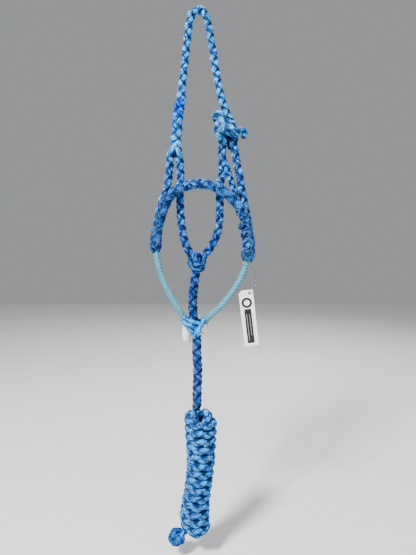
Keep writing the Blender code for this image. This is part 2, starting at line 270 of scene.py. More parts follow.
def braid(skin, route, width, depth, lump, style=PLAIN, phase=0.0, ends=(0.004, 0.004), start=0.0,
          stop=None, bulge=None, spin=None):
    """A four-strand round braid along a route. lump is the length of one lump in a column.
    A strand that turns one way crosses over one that turns the other way, then under the next."""
    stop = route.length if stop is None else stop
    count = max(4, int(round((stop - start) / style.step)) + 1)
    s = np.linspace(start, stop, count)
    w, d = each(width, s), each(depth, s)
    if bulge is not None:
        w, d = w * bulge(s), d * bulge(s)
    close = drawn_in(s, start, stop, ends, 0.25)
    rate = math.pi / each(lump, s)
    turned = np.cumsum((rate[1:] + rate[:-1]) / 2 * np.diff(s))
    turn = phase + rate[0] * s[0] + np.concatenate([[0], turned])
    out, across, round_ = section(style.sides, style.power)
    half_thick, weave = 0.5 * style.thick * w, 0.5 * each(style.weave, s) * w
    mean = 0.5 * w - half_thick - weave
    low, high = style.gap
    edge = each(style.edge, s)[:, None]
    for k in range(4):
        way = 1 if k < 2 else -1
        # a strand runs more nearly along the braid while it is on top, and crosses while it is under
        angle = way * (turn - way * style.swing * np.sin(2 * turn))
        angle = angle + (k % 2) * math.pi + math.pi / 4 + (0 if spin is None else spin(s))
        over = way * np.cos(2 * turn)
        radius = mean + weave * over
        slope = rate * (1 - 2 * style.swing * over)
        lean = np.arctan(slope * np.maximum(radius, 0.1 * w)) * way
        crease = 1 + style.crease * (
            np.cos(3 * round_[None, :] + 1.7 * k + 90 * s[:, None])
            + 0.6 * np.cos(5 * round_[None, :] - 140 * s[:, None] + k)
        )
        a = across[None, :] * (0.5 * style.strand * w * close)[:, None]
        b = out[None, :] * (half_thick * (0.94 + 0.06 * over) * close)[:, None] * crease
        rho = np.maximum(radius * (0.4 + 0.6 * close), 0)[:, None] + b
        slide = a * np.cos(lean)[:, None]
        bend = style.curl * slide / np.maximum(np.abs(rho), 0.3 * w[:, None])
        theta = angle[:, None] + bend
        rest = (1 - style.curl) * slide
        place, front, side = route.at(s[:, None] - a * np.sin(lean)[:, None])
        flat = (d / w)[:, None, None]
        c, q = np.cos(theta)[..., None], np.sin(theta)[..., None]
        ring = place + front * flat * (c * rho[..., None] - q * rest[..., None])
        ring = ring + side * (q * rho[..., None] + c * rest[..., None])
        # Painted shade: darker the nearer a point lies to the braid's middle, darker at each strand's edges,
        # and darker where the lead is buried between the hank's turns
        reach = np.hypot(rho, rest) / (0.5 * w[:, None])
        rim = 1 - edge * np.abs(across[None, :]) ** 6
        if style.buried is not None:
            rim = rim * (1 - style.buried(s)[:, None] * ease((0.42 - np.cos(theta)) / 0.45))
        skin.rings(ring, np.clip((reach - low) / (high - low), 0, 1) * rim)


STRAP_SIDES, STRAP_POWER, STRAP_ENDS = 14, 0.85, (0.006, 0.006)


def strap(skin, points, wide, thick, hub=None, facing=None, closed=False, crease=0.10, step=0.0014):
    """One fat strand of a knot, through points given in millimetres. Its flat side faces away from
    the hub, or the way given. wide and thick are its full sizes in millimetres."""
    p = np.asarray(points, float) * MM
    if facing is None:
        facing = p - np.asarray(hub, float) * MM
    route = Route(p, facing, closed)
    count = max(6, int(round(route.length / step)) + (0 if closed else 1))
    s = np.linspace(0, route.length, count, endpoint=not closed)
    close = np.ones(count) if closed else drawn_in(s, 0, route.length, STRAP_ENDS, 0.2)
    place, front, side = route.at(s)
    out, across, round_ = section(STRAP_SIDES, STRAP_POWER)
    shift = skin.tubes * 1.3
    folds = 1 + crease * (
        np.cos(3 * round_[None, :] + 110 * s[:, None] + shift)
        + 0.7 * np.cos(4 * round_[None, :] - 75 * s[:, None] + 2 * shift)
    )
    b = out[None, :] * (0.5 * thick * MM * close)[:, None] * folds
    a = across[None, :] * (0.5 * wide * MM * close)[:, None]
    ring = place[:, None] + front[:, None] * b[..., None] + side[:, None] * a[..., None]
    # Painted shade: darker at the strap's sides and on its side towards the hub
    shade = np.clip(0.24 + 1.1 * np.broadcast_to(out, b.shape), 0, 1)
    skin.rings(ring, shade, closed)


# ---------------------------------------------------------------- materials
class Finish:
    """A new material, with short ways to add the nodes that the finishes share."""

    def __init__(self, name):
        self.material = bpy.data.materials.new(name)
        self.material.use_nodes = True
        self.nodes = self.material.node_tree.nodes
        self.links = self.material.node_tree.links
        self.shader = self.nodes["Principled BSDF"]

    def add(self, kind, **values):
        """A node, with its inputs and its own settings given by name."""
        node = self.nodes.new("ShaderNode" + kind)
        for key, value in values.items():
            if key in node.inputs:
                node.inputs[key].default_value = value
            else:
                setattr(node, key, value)
        return node

    def wire(self, socket, value):
        """Feeds a socket from another socket, a colour or a number."""
        if isinstance(value, bpy.types.NodeSocket):
            self.links.new(value, socket)
        elif isinstance(value, tuple):
            socket.default_value = (*value, 1.0)
        else:
            socket.default_value = value

    def feed(self, name, value):
        """Feeds one of the shader's own sockets."""
        self.wire(self.shader.inputs[name], value)

    def maths(self, operation, first, second=0.0):
        node = self.add("Math", operation=operation)
        self.wire(node.inputs[0], first)
        self.wire(node.inputs[1], second)
        return node.outputs[0]

    def mixed(self, factor, first, second, blend="MIX"):
        node = self.add("Mix", data_type="RGBA", blend_type=blend)
        for index, value in ((0, factor), (6, first), (7, second)):
            self.wire(node.inputs[index], value)
        return node.outputs[2]

    def through(self, value, *stops):
        """A value turned into greys or colours by a ramp of (place, colour) stops."""
        node = self.add("ValToRGB")
        while len(node.color_ramp.elements) < len(stops):
            node.color_ramp.elements.new(0.5)
        for element, (at, colour) in zip(node.color_ramp.elements, stops):
            colour = colour if isinstance(colour, tuple) else (colour,) * 3
            element.position = at
            element.color = (*colour, 1.0)
        self.wire(node.inputs[0], value)
        return node.outputs[0]

    def slope(self, value, zero_at, one_at):
        """0 at one value and 1 at the other, straight between them."""
        node = self.add("MapRange")
        self.wire(node.inputs[0], value)
        node.inputs[1].default_value = zero_at
        node.inputs[2].default_value = one_at
        return node.outputs[0]

    def strand_uv(self):
        """The strand's own map: metres along it, and turns round it."""
        uv = self.add("UVMap", uv_map="Strand")
        split = self.add("SeparateXYZ")
        self.wire(split.inputs[0], uv.outputs["UV"])
        return split.outputs["X"], split.outputs["Y"]

    def strand_map(self, along, round_, slant=0.0):
        """That map with so many cells to the metre and to the turn, slanting round the strand."""
        x, y = self.strand_uv()
        x = self.maths("MULTIPLY", x, along)
        y = self.maths("MULTIPLY", y, round_)
        if slant:
            x = self.maths("ADD", x, self.maths("MULTIPLY", y, slant))
        join = self.add("CombineXYZ")
        self.wire(join.inputs["X"], x)
        self.wire(join.inputs["Y"], y)
        return join.outputs[0]

    def noise(self, place, detail=3.0, rough=0.6):
        node = self.add("TexNoise", Scale=1.0, Detail=detail, Roughness=rough)
        self.wire(node.inputs["Vector"], place)
        return node.outputs[0]

    def bands(self, place, distortion, **values):
        node = self.add("TexWave", wave_type="BANDS", bands_direction="X", Scale=1.0,
                        Distortion=distortion, **values)
        self.wire(node.inputs["Vector"], place)
        return node.outputs["Fac"]

    def gap(self):
        """The mesh's own shade: 0 deep between the strands, 1 on their tops."""
        return self.add("Attribute", attribute_name="gap", attribute_type="GEOMETRY").outputs["Fac"]

    def bump(self, height, strength, distance):
        node = self.add("Bump", Strength=strength, Distance=distance)
        self.wire(node.inputs["Height"], height)
        self.feed("Normal", node.outputs[0])


# Detail of woven tape, as cells to the metre along a strand, cells to the turn round it, and slant
CLOUD_CELLS = (110, 5.5)
FIBRES_ALONG = 70
FLECK_CELLS = (420, 10.0, 0.35)
CLUSTER_CELLS = (170, 4.5)
RIB_CELLS = (190, 9.0, 0.6)
# Streak values at which the dye has its middle tone and its pale tone, before the spread
DYE_MIDDLE, DYE_PALE = 0.48, 0.49
# Painted shade in the gaps between strands: its dark colour, and its share where the gaps are deepest
GAP_SHADE_COLOUR, GAP_SHADE_SHARE = (0.002, 0.008, 0.06), 0.90
PATCH_EDGE = 0.008


def tape_material(name, deep, middle, pale, fleck, flecks, fibres=17.0, spread=0.050, patches=()):
    """Woven tape: streaky dye, pale flecks in clusters, fine ribs, and painted shade in the gaps.
    Each patch is a stretch of the strands, from and to, and a tint that multiplies its colour."""
    finish = Finish(name)
    cloud = finish.noise(finish.strand_map(*CLOUD_CELLS))
    fibre = finish.noise(finish.strand_map(FIBRES_ALONG, fibres), detail=2.0)
    streak = finish.maths("MULTIPLY", finish.maths("ADD", cloud, fibre), 0.5)
    dye = finish.through(streak, (DYE_MIDDLE - spread, deep), (DYE_MIDDLE, middle), (DYE_PALE + spread, pale))
    weave = finish.add("TexVoronoi", Scale=1.0, feature="F1")
    finish.wire(weave.inputs["Vector"], finish.strand_map(*FLECK_CELLS))
    dots = finish.through(weave.outputs["Distance"], (0.22, 1.0), (0.42, 0.0))
    cluster = finish.noise(finish.strand_map(*CLUSTER_CELLS), detail=2.0, rough=0.5)
    where = finish.through(cluster, (0.43, 0.0), (0.55, 1.0))
    share = finish.maths("MULTIPLY", finish.maths("MULTIPLY", dots, where), flecks)
    dyed = finish.mixed(share, dye, fleck)
    for low, high, tint in patches:
        metres, _ = finish.strand_uv()
        rise = finish.slope(metres, low - PATCH_EDGE, low + PATCH_EDGE)
        fall = finish.slope(metres, high + PATCH_EDGE, high - PATCH_EDGE)
        dyed = finish.mixed(finish.maths("MULTIPLY", rise, fall), dyed, tint, "MULTIPLY")
    # Painted shade: the dyed colour goes towards the dark gap colour where the mesh's gap value is low
    hidden = finish.through(finish.gap(), (0.05, 1.0), (0.36, 0.80), (0.84, 0.0))
    amount = finish.maths("MULTIPLY", hidden, GAP_SHADE_SHARE)
    finish.feed("Base Color", finish.mixed(amount, dyed, GAP_SHADE_COLOUR))
    ribs = finish.bands(finish.strand_map(*RIB_CELLS), 2.0, Detail=1.0)
    height = finish.maths("ADD", finish.maths("MULTIPLY", ribs, 0.5), dots)
    finish.bump(height, 0.7, 0.0005)
    finish.feed("Roughness", finish.through(streak, (0.3, 0.72), (0.7, 0.5)))
    finish.feed("Sheen Weight", 0.03)
    finish.feed("Sheen Tint", (0.2, 0.6, 1.0))
    finish.feed("Sheen Roughness", 0.4)
    finish.feed("Specular Tint", (0.15, 0.55, 1.0))
    finish.feed("Specular IOR Level", 0.15)
    return finish.material


def rope_material():
    """Waxed laid rope: pale aqua, with fine yarns along each strand and painted shade in the lay between."""
    finish = Finish("lariat_rope")
    yarn = finish.noise(finish.strand_map(40, 26.0))
    dye = finish.through(
        yarn, (0.33, (0.024, 0.13, 0.19)), (0.5, (0.042, 0.21, 0.29)), (0.68, (0.10, 0.38, 0.47)))
    # Painted shade: dark aqua where the gap value is low
    finish.feed("Base Color", finish.mixed(finish.gap(), (0.02, 0.09, 0.14), dye))
    finish.bump(yarn, 0.5, 0.0004)
    finish.feed("Roughness", 0.5)
    return finish.material


def twine_material():
    """White whipping twine with fine plies, and painted shade in the gaps between its strands."""
    finish = Finish("white_twine")
    ply = finish.bands(finish.strand_map(260, 5.0, 0.8), 0.6)
    dye = finish.through(
        ply, (0.0, (0.42, 0.52, 0.58)), (0.45, (0.80, 0.84, 0.85)), (1.0, (0.93, 0.95, 0.95)))
    # Painted shade: blue-grey where the gap value is low
    hidden = finish.through(finish.gap(), (0.10, 0.85), (0.75, 0.0))
    finish.feed("Base Color", finish.mixed(hidden, dye, (0.22, 0.36, 0.48)))
    finish.bump(ply, 0.5, 0.0003)
    finish.feed("Roughness", 0.75)
    return finish.material


# Tones of each tape: deep, middle, pale, its flecks, and how much of them shows
BLUE_TONES = (0.005, 0.013, 0.10), (0.013, 0.062, 0.32), (0.03, 0.22, 0.60), (0.33, 0.74, 0.88), 0.9
# The crown's first patch is a bluer stretch of dye; its second is painted shadow on the hitch where it passes
# round behind
CROWN_TAPE = tape_material(
    "crown_tape", (0.006, 0.024, 0.17), (0.015, 0.11, 0.48), (0.04, 0.35, 0.76), (0.40, 0.84, 0.92), 1.0,
    patches=((0.070, 0.108, (0.0, 0.44, 1.15)), (0.525, 0.568, (0.2, 0.22, 0.36))),
)
# The first two patches darken the braids towards their lower ends; the third is a painted highlight on the
# front of the eye's loop, and the fourth is painted shadow on the eye's outer leg. They fall at the same
# lengths on the left throat too.
TAPE = tape_material(
    "blue_tape", *BLUE_TONES,
    patches=((-0.02, 0.16, (0.95, 0.90, 0.92)), (-0.02, 0.050, (0.55, 0.6, 0.72)),
             (0.232, 0.264, (2.2, 1.9, 1.4)), (0.298, 0.322, (0.3, 0.3, 0.45))),
)
CHEEK_TAPE = tape_material("cheek_tape", *BLUE_TONES)
LEAD_TAPE = tape_material(
    "lead_tape", (0.006, 0.018, 0.12), (0.015, 0.085, 0.37), (0.04, 0.27, 0.66), (0.30, 0.70, 0.86), 0.6,
    patches=((-0.02, 0.150, (0.7, 0.42, 0.46)),),
)
KNOT_TAPE = tape_material(
    "junction_tape", (0.004, 0.030, 0.19), (0.010, 0.12, 0.48), (0.03, 0.36, 0.74), (0.24, 0.68, 0.86), 0.45)
DEEP_TAPE = tape_material(
    "deep_tape", (0.002, 0.004, 0.030), (0.006, 0.017, 0.10), (0.018, 0.09, 0.32), (0.18, 0.50, 0.68), 0.5)
CHIN_TAPE = tape_material(
    "chin_tape", (0.002, 0.004, 0.028), (0.006, 0.018, 0.11), (0.018, 0.105, 0.38), (0.18, 0.50, 0.72), 0.3,
    fibres=9.0)
BAND_TAPE = tape_material(
    "band_tape", (0.002, 0.003, 0.024), (0.008, 0.023, 0.125), (0.03, 0.155, 0.47), (0.20, 0.54, 0.76), 0.35,
    fibres=24.0, spread=0.042, patches=((-0.02, 0.14, (0.80, 0.66, 0.66)),),
)
BALL_TAPE = tape_material(
    "ball_tape", (0.0005, 0.006, 0.07), (0.001, 0.026, 0.22), (0.004, 0.11, 0.42), (0.14, 0.52, 0.74), 0.4)
ROPE = rope_material()
TWINE = twine_material()


def settle(piece, body, slot, *nodes, bends=None):
    """The piece stands for CAD nodes, which it hides, and moves with a body. slot is not used. A piece that
    crosses a joint, with bends given, is not attached to a body but has its transform baked into its mesh."""
    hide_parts(*nodes)
    if bends is None:
        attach(piece, body)
    else:
        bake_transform(piece)
    return piece


# ---------------------------------------------------------------- lead
# A joint that a piece crosses: the body past it, and the places where the bend starts and ends; settle reads
# only whether one is given
HANK_BEND = ("hank", (-0.0084, -0.009, -0.618), (-0.0084, -0.009, -0.640))
JUNCTION_BEND = ("lead", (-0.008, -0.009, -0.493), (-0.008, -0.009, -0.514))
LEAD_WIDE, LEAD_DEEP, LEAD_LUMP = 0.0180, 0.0156, 0.0200
WOUND_WIDE, WOUND_DEEP = 0.0150, 0.0134
# Where along the lead it starts to draw in to its wound size, and over what length
WOUND_FROM, WOUND_OVER = 0.115, 0.03
LEAD_ROUTE = [
    (-8, -9, -508), (-8.1, -9, -524), (-8.3, -9, -541), (-7, -9, -560),
    (-7.4, -9, -580), (-8.2, -9, -600), (-8.4, -9, -617),
]
# Outside of the hank at several heights: z, middle x, half width, half depth
HANK_SHAPE = np.array([
    (-640, -3.0, 26, 22), (-648, -2.6, 28.6, 23), (-662, -2.3, 28.4, 23), (-695, -2.5, 26.3, 23),
    (-727, -3, 24.8, 22.5), (-766, -7.4, 24.3, 22), (-800, -12.8, 25.5, 22), (-823, -15.0, 27, 21.5),
    (-840, -12, 25, 20.5), (-862, -6, 20, 18),
]) * MM
HANK_Y = -0.009
# The four runs inside the hank: how far each stands from its middle, and their ends
RUN_ACROSS, RUN_DEEP, RUN_POINTS = 0.0078, 0.0058, 8
RUN_START, RUN_TOP, RUN_BOTTOM = -0.650, -0.652, -0.842
FOLD_POINTS = 6
# The last run crosses out to the turns here: across and back from the middle, height, and facing
CROSSING_Z = -0.648
CROSSING = [
    (-0.0125, -0.003, -0.6440, (-0.3, -0.2, 0.8)),
    (-0.0190, 0.004, -0.6428, (-0.8, 0.3, 0.5)),
]
WRAP_TOP, WRAP_TURNS, WRAP_PITCH, WRAP_STEPS = -0.6485, 14, 0.0141, 28
WRAP_START, WRAP_SAG = math.pi - 0.35, 0.0022
# The tail leaves the last turn at the bottom left, for the ball knot: places, and facing
LEAD_TAIL = [((-38, -14, -850), (-0.6, -0.8, 0)), ((-44, -13, -856), (-0.5, -0.8, 0))]


def hank_at(z):
    """Middle x, half width and half depth of the hank at a height."""
    rows = HANK_SHAPE[::-1]
    return [np.interp(z, rows[:, 0], rows[:, k]) for k in (1, 2, 3)]


def lead_route():
    """The free drop, four runs up and down inside the hank, then the turns round them."""
    points = [np.array(p) * MM for p in LEAD_ROUTE]
    facing = [FRONT] * len(points)

    def in_hank(sx, sy, middle_at, z):
        return hank_at(middle_at)[0] + sx * RUN_ACROSS, HANK_Y + sy * RUN_DEEP, z

    def run(sx, sy, z0, z1):
        for z in np.linspace(z0, z1, RUN_POINTS):
            points.append(in_hank(sx, sy, z, z))
            facing.append((0, sy, 0))

    def fold(start, end, z, rise):
        """A bend over the top or under the bottom, from one run to the next."""
        for t in np.linspace(0, math.pi, FOLD_POINTS)[1:-1]:
            f = (1 - math.cos(t)) / 2
            sx, sy = (a * (1 - f) + b * f for a, b in zip(start, end))
            points.append(in_hank(sx, sy, z, z + rise * math.sin(t)))
            facing.append((0, sy + 0.02, 1.5 * math.copysign(math.sin(t), rise)))

    run(-1, 1, RUN_START, RUN_BOTTOM)
    fold((-1, 1), (1, 1), RUN_BOTTOM, -0.010)
    run(1, 1, RUN_BOTTOM, RUN_TOP)
    fold((0.2, 0.9), (2.0, -1.3), RUN_TOP, 0.014)
    run(1, -1, RUN_TOP, RUN_BOTTOM)
    fold((1, -1), (-1, -1), RUN_BOTTOM, -0.009)
    run(-1, -1, RUN_BOTTOM, RUN_TOP)
    for across, back, z, face in CROSSING:
        points.append((hank_at(CROSSING_Z)[0] + across, HANK_Y + back, z))
        facing.append(face)
    for i in range(WRAP_TURNS * WRAP_STEPS + 1):
        angle = WRAP_START + TURN * i / WRAP_STEPS
        z = WRAP_TOP - WRAP_PITCH * i / WRAP_STEPS
        x, half, thick = hank_at(z)
        half, thick = half - 0.5 * WOUND_DEEP, thick - 0.5 * WOUND_DEEP
        c, s = math.cos(angle), math.sin(angle)
        points.append((x + half * c, HANK_Y + thick * s, z + WRAP_SAG * min(s, 0)))
        facing.append((c * thick, s * half, 0))
    for place, face in LEAD_TAIL:
        points.append(np.array(place) * MM)
        facing.append(face)
    return Route(np.array(points), np.array(facing, float), per_span=10)


def wound(s):
    """0 on the free drop, 1 in the hank."""
    return ease((s - WOUND_FROM) / WOUND_OVER)


lead_line = lead_route()
skin = Skin()
braid(
    skin, lead_line,
    width=lambda s: LEAD_WIDE + (WOUND_WIDE - LEAD_WIDE) * wound(s),
    depth=lambda s: LEAD_DEEP + (WOUND_DEEP - LEAD_DEEP) * wound(s),
    lump=LEAD_LUMP,
    style=Braid(sides=10, step=0.0021, strand=0.64, weave=lambda s: 0.25 - 0.09 * wound(s),
                gap=(0.52, 0.90), buried=lambda s: 0.8 * wound(s)),
)
lead = skin.build("lead_braid", LEAD_TAPE)

# ---------------------------------------------------------------- crown, legs and tie
def flat_route(points, facing=FRONT):
    return Route(np.array(points) * MM, facing)


CROWN = [
    (-42, 6, -214), (-41, 6, -203), (-39.8, 6, -190), (-37.9, 6, -174), (-37, 6, -158), (-34.8, 6, -142),
    (-31.2, 6, -127), (-26.8, 5, -89), (-21.5, 3, -51), (-17.5, 1, -22), (-14.5, 0, -7), (-8.6, 0, 3.2),
    (-1, 0, 5.6), (6.2, 0, 3.2), (11.2, 0, -7), (14.2, 1, -20), (17.4, 2, -35), (22.3, 4, -66),
    (26.6, 5, -92), (31.6, 5, -117), (36, 4, -134), (41, 4, -146), (46.5, 5, -157),
]
# From there round behind the eye's neck, over to the front on the left, and out to the right
HITCH = [
    (51.5, 8, -168), (55.5, 12, -181), (55, 16, -193), (49.5, 18.5, -200), (42.5, 19, -191),
    (37.5, 18.5, -178), (31.5, 16, -165), (27, 9.5, -158), (25, 1, -154.5), (27.5, -7, -156),
    (33, -10.5, -161.5), (39, -11, -169), (45, -10.5, -177.5), (51, -9.5, -184), (57, -9.5, -184.5),
    (62.5, -10, -182), (67, -10, -183), (69.5, -9, -188.5), (69.5, -8.5, -193.5),
]
HITCH_HUB = np.array((39, 5, -172))
CROWN_WIDE, CROWN_DEEP, CROWN_LUMP = 0.0146, 0.0136, 0.0172
# The crown is fuller where both left legs' strands come together, up to this length along it
SPLIT_EXTRA, SPLIT_END, SPLIT_OVER = 0.0058, 0.082, 0.030
# The hitch shows at the front from so far along it to so far from the crown's end. Each has the
# length over which the braid changes there.
HITCH_SHOWS, HITCH_SHOWS_OVER, HITCH_HIDES, HITCH_HIDES_OVER = 0.02, 0.03, 0.012, 0.02
HITCH_EXTRA, HITCH_LUMP_EXTRA = 0.0032, 0.0140

hitch_facing = [(p - HITCH_HUB) / 20 for p in np.array(HITCH, float)]
crown_route = flat_route(CROWN + HITCH, np.array([FRONT] * len(CROWN) + hitch_facing))
hitch_s = float(crown_route.along[PER_SPAN * len(CROWN)])


def in_hitch(s):
    """1 on the turn of the hitch that shows at the front, 0 elsewhere."""
    shows = ease((s - hitch_s - HITCH_SHOWS) / HITCH_SHOWS_OVER)
    return shows * ease((crown_route.length - HITCH_HIDES - s) / HITCH_HIDES_OVER)


def crown_wide(s):
    """Fuller low on the left and in the hitch."""
    split = 1 - ease((s - SPLIT_END) / SPLIT_OVER)
    return CROWN_WIDE + SPLIT_EXTRA * split + HITCH_EXTRA * in_hitch(s)


def crown_lump(s):
    """Drawn out where the hitch pulls the strands along the rope."""
    return CROWN_LUMP + HITCH_LUMP_EXTRA * in_hitch(s)


skin = Skin()
braid(skin, crown_route, crown_wide, CROWN_DEEP, lump=crown_lump, style=Braid(step=0.0015))
settle(skin.build("crown_rope", CROWN_TAPE), "crown", "blue_braid", "crown_braid", "tie_hitch", "crown_tail")

# Right throat braid up to the eye, over the hitch, and down the right cheek
EYE = [
    (-3, 4, -386), (5, 5.5, -377), (12.5, 6, -368), (21, 7, -354), (27, 7.5, -338), (29.8, 7.5, -318),
    (30.6, 7.5, -296), (30.3, 7.5, -277), (31.2, 7.5, -261), (34.2, 7.5, -247), (35, 7.5, -234),
    (35, 7.5, -220), (34.8, 7, -205), (35, 2, -196.5), (32.5, -6, -188), (30, -9.5, -179), (32, -8, -171),
    (38, -3, -167), (44, 2, -171), (48, 5, -179), (51, 6.5, -190), (54.5, 7.5, -205), (57, 7.5, -222),
    (59.5, 7.5, -235), (63, 8, -250), (65.5, 9, -266), (68, 9, -281), (71.5, 9, -297), (75, 9, -315),
    (78, 8.5, -332), (79, 4, -347), (78, -2, -360), (76, -6.5, -372),
]
# The point of EYE in the middle of the eye's front, and how the braid is fuller round it
EYE_FRONT = 15
EYE_WIDE, EYE_EXTRA, EYE_REACH = 0.0154, 0.0052, 0.015
LEFT_CHEEK = [
    (-41.5, 8.5, -196), (-46, 8, -208), (-50.4, 7.5, -220), (-51.6, 7.5, -237), (-54, 7.5, -254),
    (-56.5, 7.5, -269), (-62, 7.5, -283), (-66.5, 8, -297), (-71, 9, -313), (-75, 8.5, -330),
    (-77.2, 4, -344), (-76.5, -2, -356), (-74, -6.5, -367),
]
LEFT_THROAT = [
    (-40.5, 8.5, -196), (-37, 8, -208), (-34.8, 7.5, -220), (-34, 7.5, -238), (-33.4, 7.5, -250),
    (-34.6, 7.5, -265), (-34.8, 7.5, -290), (-34, 7.5, -310), (-32.4, 7.5, -330), (-29, 7, -349),
    (-24, 6, -364), (-17, 5, -377), (-11, 4, -386),
]
INNER_CHEEK = [
    (39, 6.5, -225), (42, 5.5, -234), (44.5, 5, -244), (48, 5, -255), (52, 4, -266), (55.3, 0, -276),
    (57.5, -5, -286),
]
CHIN = [
    (-8.5, 4, -392), (-9.9, 3, -406), (-12.4, 0, -425), (-14.5, -3, -446), (-14.2, -5, -466),
    (-13.2, -7, -479), (-12.5, -9, -488),
]
FACE_BEND = ("face", (0, 0.0075, -0.209), (0, 0.0075, -0.235))

eye_s = float(flat_route(EYE).along[PER_SPAN * EYE_FRONT])


def eye_wide(s):
    """Fuller round the loop of the eye."""
    return EYE_WIDE + EYE_EXTRA * np.exp(-((s - eye_s) / EYE_REACH) ** 2)


def leg(name, points, width, depth, lump, material, slot, nodes, phase=0.0, bends=None):
    """A braid of the face, moving with the face. One that comes down from the crown is left unattached, with
    its transform baked into its mesh.
    """
    skin = Skin()
    braid(skin, flat_route(points), width, depth, lump, style=Braid(step=0.0016), phase=phase)
    body = "face" if bends is None else "crown"
    return settle(skin.build(name, material), body, slot, *nodes, bends=bends)


leg("right_legs_and_eye", EYE, eye_wide, 0.0146, 0.0186, TAPE, "blue_braid",
    ("right_throat_braid", "tie_eye_braid", "right_outer_cheek_braid"), bends=FACE_BEND)
leg("left_cheek_rope", LEFT_CHEEK, 0.0156, 0.0146, 0.0186, CHEEK_TAPE, "blue_braid",
    ("left_cheek_braid",), bends=FACE_BEND)
leg("left_throat_rope", LEFT_THROAT[::-1], 0.0154, 0.0144, 0.0182, TAPE, "blue_braid",
    ("left_throat_braid",), phase=1.0, bends=FACE_BEND)
leg("right_inner_cheek_rope", INNER_CHEEK, 0.0124, 0.0120, 0.0155, CHEEK_TAPE, "blue_braid",
    ("right_inner_cheek_braid",))
leg("chin_rope", CHIN, 0.0176, 0.0162, 0.0185, DEEP_TAPE, "deep_blue_braid", ("chin_braid",))


# ---------------------------------------------------------------- knots
def knot(name, material, body, slot, node, hub, straps, wide=8.5, thick=5.0, bends=None):
    """A knot of straps, each a list of points in millimetres, with settings of its own if any."""
    skin = Skin()
    for item in straps:
        points, own = item if isinstance(item, tuple) else (item, {})
        strap(skin, points, **{"wide": wide, "thick": thick, "hub": hub, **own})
    return settle(skin.build(name, material), body, slot, node, bends=bends)


knot("left_split_knot_strands", CROWN_TAPE, "crown", "blue_braid", "left_split_knot", (-42, 9, -204), [
    [(-38, 4, -196), (-41, -0.5, -200), (-45, -1.5, -206), (-49, 0, -212), (-50.5, 5, -217)],
    [(-44.5, 4, -196), (-41, 0.5, -200), (-37.5, -1, -206), (-35.5, 0, -212), (-35, 5, -217)],
    [(-50, 10, -208), (-44, 16.5, -204), (-36, 16, -202), (-33, 10, -206)],
    [(-48, 12, -198), (-42, 16, -204), (-38, 15, -211), (-35, 11, -216)],
], wide=7.5, thick=4.5)

knot("chin_knot_strands", CHIN_TAPE, "face", "blue_braid", "chin_knot", (-8, 4, -388), [
    ([(-14, 8, -378), (-11.5, 1, -375), (-9, -6, -375), (-7.5, -11, -380), (-7, -10, -386.5), (-8, -3, -390)],
     {"wide": 15, "thick": 8.0, "crease": 0.0}),
    ([(-20, 6, -387), (-20.5, -2, -389), (-17.5, -9, -393), (-11.5, -11, -398), (-4, -11.5, -401),
      (2, -7, -400), (4.5, 1, -397)], {"wide": 7.5, "thick": 5.5}),
    ([(-19, 6, -383), (-19.5, -3, -386), (-17, -9.5, -390), (-13.5, -10, -394)], {"wide": 7.0, "thick": 5.5}),
    ([(4.5, 6, -386), (5, -2, -388), (2.5, -9.5, -391), (-3, -13, -392.5), (-8.5, -12, -393),
      (-12, -9, -391)], {"wide": 9.0, "thick": 6.0, "crease": 0.03}),
    ([(-17.5, 9, -391), (-17.5, 1, -396), (-12, -6, -401.5), (-6, -8, -403), (0, -6, -401.5),
      (3.5, 1.5, -396), (1, 10, -392), (-8, 13, -391)], {"wide": 7.0, "thick": 5.0}),
    ([(9, 4, -376), (6, -4, -378.5), (4, -8, -383), (4.5, -5, -389)], {"wide": 8.0, "thick": 5.0}),
    [(-18, 7, -378), (-15, 13, -382), (-8, 15, -388), (0, 13, -393), (3, 7, -397)],
    [(3, 6, -378), (0, 13, -382), (-8, 15, -387), (-15, 13, -393), (-17, 6, -398)],
])

knot("junction_knot_strands", KNOT_TAPE, "face", "blue_braid", "junction_knot", (-12.5, -8, -487), [
    ([(-29, 4, -479), (-31, -5, -478.5), (-26.5, -14, -479.5), (-18.5, -18.5, -482), (-9.5, -19.5, -485),
      (-2.5, -16, -487), (0, -8, -488)], {"wide": 6.5, "thick": 5.0}),
    ([(-30, 3, -485), (-31.5, -6, -484.5), (-27.5, -14.5, -486), (-19, -20, -489), (-11, -21, -492.5),
      (-4, -18, -495), (-1, -12, -496)], {"wide": 6.5, "thick": 5.5}),
    ([(-29, -4, -490), (-26, -13, -491.5), (-19, -17, -495), (-13, -17.5, -498.5)],
     {"wide": 5.5, "thick": 5.0}),
    ([(-27, -8, -491), (-21, -15, -494.5), (-15, -17.5, -499.5), (-12, -16.5, -506), (-11, -13, -513)],
     {"wide": 8, "thick": 5.0}),
    ([(-10, -14, -489), (-7.5, -18.5, -496), (-8, -19, -502.5), (-9, -15.5, -510)],
     {"wide": 8.5, "thick": 5.5}),
    ([(3.5, 0, -479), (2.8, -8, -483), (0, -15.5, -489), (-3, -20, -495.5), (-6, -19.5, -503),
      (-8, -14, -511)], {"wide": 8.0, "thick": 5.5, "facing": (0.3, -1, 0.1)}),
    ([(-27, -2, -483), (-18, 4.5, -486), (-8, 5, -489), (2, 0, -490)], {"wide": 12, "thick": 5}),
    ([(1, -3, -492), (-4, 2.5, -497), (-8, 0, -505), (-9, -6, -512)], {"wide": 10, "thick": 5}),
    ([(-25, -2, -490), (-18, 2.5, -496), (-12, 0, -504), (-9, -5, -511)], {"wide": 10, "thick": 5}),
], wide=9.0, thick=5.0, bends=JUNCTION_BEND)


# How the ball knot's axis is tipped over from the vertical
BALL_TIP = np.array(Matrix.Rotation(1.15, 3, "Y") @ Matrix.Rotation(0.45, 3, "X"))


